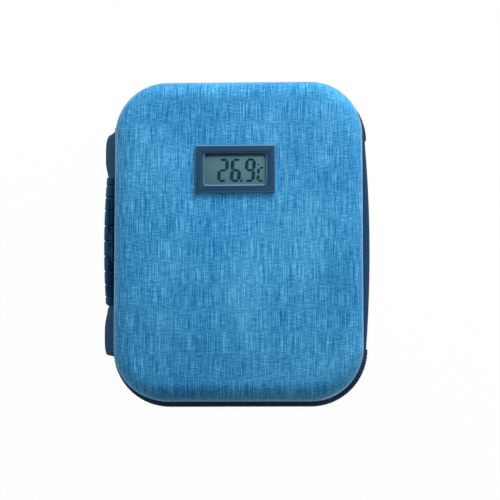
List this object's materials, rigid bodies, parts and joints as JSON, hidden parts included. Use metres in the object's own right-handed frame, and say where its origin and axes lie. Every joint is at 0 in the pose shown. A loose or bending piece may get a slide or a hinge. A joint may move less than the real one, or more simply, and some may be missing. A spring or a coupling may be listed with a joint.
{
  "type": "insulin cooling case",
  "caption": "Hard-shell zip case in blue heathered fabric with a side handle, a lid thermometer and a cooled, foil-lined inside.",
  "frame": {"origin": "centre of the flat back face, with the case lying on its back", "axes": "+X across the front towards the spine, +Y along the front towards its top, +Z out of the front face with the display"},
  "size_m": [0.1666, 0.2, 0.0821],
  "materials": {
    "shell_fabric": "blue heathered woven fabric laminated to moulded foam board",
    "band_fabric": "navy woven tape",
    "zip_coil": "near-black coil teeth",
    "webbing": "dark woven webbing",
    "grip_rubber": "dark satin ribbed grip",
    "foil_foam": "aluminised foil on soft foam",
    "elastic": "dark woven elastic",
    "pocket_mesh": "dark knitted mesh",
    "ice_pack": "pale blue gel brick",
    "ice_cap": "white filler cap",
    "bezel_plastic": "dark blue-black satin plastic",
    "clear_window": "clear plastic window",
    "lcd_glass": "grey-green reflective display glass",
    "contact_rubber": "striped contact rubber",
    "board": "green circuit board",
    "housing_plastic": "black fine-grained plastic",
    "cell_steel": "bright nickel-plated steel",
    "contact_brass": "spring brass",
    "slider_metal": "black enamelled zinc",
    "puller_plastic": "near-black moulded puller"
  },
  "bodies": {
    "base": {"base_shell": "shell_fabric", "base_insulation": "foil_foam", "base_piping": "band_fabric", "base_zip_tape": "band_fabric", "base_zip_coil": "zip_coil", "ice_pack_left": "ice_pack", "ice_pack_right": "ice_pack", "ice_pack_cap_left": "ice_cap", "ice_pack_cap_right": "ice_cap", "divider_board": "foil_foam", "pen_band_upper": "elastic", "pen_band_lower": "elastic", "handle_tab_upper": "webbing", "handle_tab_lower": "webbing"},
    "handle": {"handle_grip": "grip_rubber", "handle_core": "webbing", "handle_strap_upper": "webbing", "handle_strap_lower": "webbing"},
    "spine": {"spine_gusset": "band_fabric", "spine_lining": "foil_foam"},
    "lid": {"lid_shell": "shell_fabric", "lid_insulation": "foil_foam", "lid_piping": "band_fabric", "lid_zip_tape": "band_fabric", "lid_zip_coil": "zip_coil", "mesh_pocket": "pocket_mesh", "mesh_pocket_binding": "elastic", "display_bezel": "bezel_plastic", "display_window": "clear_window", "lcd_panel": "lcd_glass", "zebra_connector": "contact_rubber", "circuit_board": "board", "module_housing": "housing_plastic", "battery_cell_left": "cell_steel", "battery_cell_right": "cell_steel", "battery_contact_left": "contact_brass", "battery_contact_right": "contact_brass", "sensor_bead": "housing_plastic"},
    "battery_door": {"battery_door": "housing_plastic"},
    "slider_upper": {"zip_slider_upper": "slider_metal"},
    "slider_lower": {"zip_slider_lower": "slider_metal"},
    "puller_upper": {"zip_puller_upper": "puller_plastic"},
    "puller_lower": {"zip_puller_lower": "puller_plastic"}
  },
  "joints": [
    {"name": "spine_fold", "type": "hinge", "parent": "base", "child": "spine", "pos_m": [0.0781, 0, 0.034], "axis": [0, 1, 0], "range_deg": [0, 90]},
    {"name": "lid_fold", "type": "hinge", "parent": "spine", "child": "lid", "pos_m": [0.0781, 0, 0.05], "axis": [0, 1, 0], "range_deg": [0, 90]},
    {"name": "handle_pull", "type": "slide", "parent": "base", "child": "handle", "axis": [-1, 0, 0], "range_m": [0, 0.012], "deforming": ["handle_strap_upper", "handle_strap_lower"]},
    {"name": "slider_upper_run", "type": "slide", "parent": "base", "child": "slider_upper", "axis": [0, 1, 0], "range_m": [0, 0.0545]},
    {"name": "slider_lower_run", "type": "slide", "parent": "base", "child": "slider_lower", "axis": [0, -1, 0], "range_m": [0, 0.0545]},
    {"name": "puller_upper_swing", "type": "hinge", "parent": "slider_upper", "child": "puller_upper", "pos_m": [-0.0824, 0.0055, 0.042], "axis": [0, 0, 1], "range_deg": [0, 95]},
    {"name": "puller_lower_swing", "type": "hinge", "parent": "slider_lower", "child": "puller_lower", "pos_m": [-0.0824, -0.0055, 0.042], "axis": [0, 0, -1], "range_deg": [0, 95]},
    {"name": "battery_door_slide", "type": "slide", "parent": "lid", "child": "battery_door", "axis": [1, 0, 0], "range_m": [0, 0.014]}
  ],
  "couplings": [
    {"joint": "lid_fold", "follows": "spine_fold", "ratio": 1}
  ]
}
